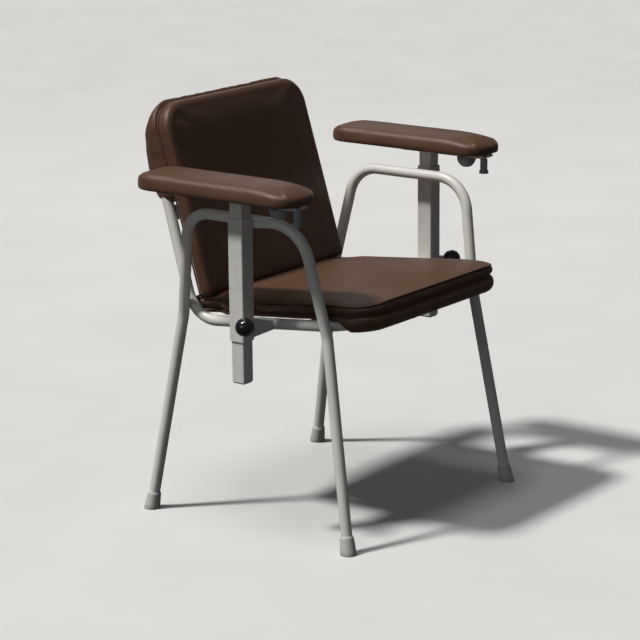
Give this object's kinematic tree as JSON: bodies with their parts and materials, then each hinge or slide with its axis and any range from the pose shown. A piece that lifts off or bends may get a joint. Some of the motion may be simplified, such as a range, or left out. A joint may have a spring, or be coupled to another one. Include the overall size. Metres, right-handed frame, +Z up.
{
  "type": "phlebotomy chair",
  "caption": "Blood-draw chair: bent-tube frame with rubber feet, padded seat and raked back, and a padded arm on each side that clamps at a height and slides fore and aft.",
  "frame": {"origin": "on the floor, in the middle of the chair's overall footprint", "axes": "+Z up; the chair faces -Y, so its back is towards +Y; +X is the sitter's left"},
  "size_m": [0.756, 0.5685, 0.8323],
  "materials": {
    "white_coat": "off-white powder coat on steel tube, semi-gloss",
    "brown_vinyl": "smooth dark brown vinyl, soft sheen",
    "pale_rubber": "pale grey moulded rubber",
    "plywood": "plain birch plywood",
    "zinc_steel": "zinc-plated steel",
    "spring_steel": "bright spring wire",
    "black_ball": "polished black phenolic",
    "grey_plastic": "moulded grey plastic, fine texture",
    "nylon": "dark nylon"
  },
  "bodies": {
    "frame": {"right_side_frame": "white_coat", "left_side_frame": "white_coat", "seat_back_tube": "white_coat", "back_straps": "white_coat", "upright_plugs": "grey_plastic", "front_right_foot": "pale_rubber", "front_left_foot": "pale_rubber", "rear_right_foot": "pale_rubber", "rear_left_foot": "pale_rubber", "right_sleeve": "white_coat", "left_sleeve": "white_coat", "right_upper_bracket": "white_coat", "left_upper_bracket": "white_coat", "right_lower_bracket": "white_coat", "left_lower_bracket": "white_coat", "right_sleeve_guides": "nylon", "left_sleeve_guides": "nylon", "right_clamp_boss": "white_coat", "left_clamp_boss": "white_coat", "seat_cushion": "brown_vinyl", "seat_board": "plywood", "seat_tabs": "white_coat", "seat_screws": "zinc_steel", "back_cushion": "brown_vinyl", "back_board": "plywood", "back_shell": "brown_vinyl", "back_screws": "zinc_steel"},
    "right_arm": {"right_arm_post": "white_coat", "right_post_cap": "white_coat", "right_stop_pin": "zinc_steel", "right_arm_channel": "white_coat", "right_plunger_barrel": "zinc_steel"},
    "right_pad": {"right_pad_slide": "zinc_steel", "right_pad_board": "plywood", "right_pad_cushion": "brown_vinyl", "right_pad_screws": "zinc_steel"},
    "right_height_clamp": {"right_clamp_knob": "black_ball", "right_clamp_stud": "zinc_steel"},
    "right_pad_clamp": {"right_pad_knob": "grey_plastic", "right_pad_stud": "zinc_steel"},
    "right_plunger": {"right_plunger_knob": "grey_plastic", "right_plunger_pin": "zinc_steel", "right_plunger_spring": "spring_steel"},
    "left_arm": {"left_arm_post": "white_coat", "left_post_cap": "white_coat", "left_stop_pin": "zinc_steel", "left_arm_channel": "white_coat", "left_plunger_barrel": "zinc_steel"},
    "left_pad": {"left_pad_slide": "zinc_steel", "left_pad_board": "plywood", "left_pad_cushion": "brown_vinyl", "left_pad_screws": "zinc_steel"},
    "left_height_clamp": {"left_clamp_knob": "black_ball", "left_clamp_stud": "zinc_steel"},
    "left_pad_clamp": {"left_pad_knob": "grey_plastic", "left_pad_stud": "zinc_steel"},
    "left_plunger": {"left_plunger_knob": "grey_plastic", "left_plunger_pin": "zinc_steel", "left_plunger_spring": "spring_steel"}
  },
  "joints": [
    {"name": "right_arm_height", "type": "slide", "parent": "frame", "child": "right_arm", "axis": [0, 0, 1], "range_m": [-0.015, 0.064]},
    {"name": "right_pad_fore_aft", "type": "slide", "parent": "right_arm", "child": "right_pad", "axis": [0, -1, 0], "range_m": [-0.006, 0.03]},
    {"name": "right_height_clamp_turn", "type": "hinge", "parent": "frame", "child": "right_height_clamp", "pos_m": [-0.321, -0.036, 0.442], "axis": [-0.7071, -0.7071, 0], "range_deg": [0, 360]},
    {"name": "right_pad_clamp_turn", "type": "hinge", "parent": "right_arm", "child": "right_pad_clamp", "pos_m": [-0.321, -0.131, 0.665], "axis": [0, 0, 1], "range_deg": [0, 360]},
    {"name": "right_plunger_pull", "type": "slide", "parent": "right_arm", "child": "right_plunger", "axis": [0, 0, -1], "range_m": [0, 0.005], "stiffness_N_per_m": 800, "springref_m": -0.006, "deforming": ["right_plunger_spring"]},
    {"name": "left_arm_height", "type": "slide", "parent": "frame", "child": "left_arm", "axis": [0, 0, 1], "range_m": [-0.015, 0.064]},
    {"name": "left_pad_fore_aft", "type": "slide", "parent": "left_arm", "child": "left_pad", "axis": [0, -1, 0], "range_m": [-0.006, 0.03]},
    {"name": "left_height_clamp_turn", "type": "hinge", "parent": "frame", "child": "left_height_clamp", "pos_m": [0.321, -0.036, 0.442], "axis": [0.7071, -0.7071, 0], "range_deg": [0, 360]},
    {"name": "left_pad_clamp_turn", "type": "hinge", "parent": "left_arm", "child": "left_pad_clamp", "pos_m": [0.321, -0.131, 0.665], "axis": [0, 0, 1], "range_deg": [0, 360]},
    {"name": "left_plunger_pull", "type": "slide", "parent": "left_arm", "child": "left_plunger", "axis": [0, 0, -1], "range_m": [0, 0.005], "stiffness_N_per_m": 800, "springref_m": -0.006, "deforming": ["left_plunger_spring"]}
  ]
}
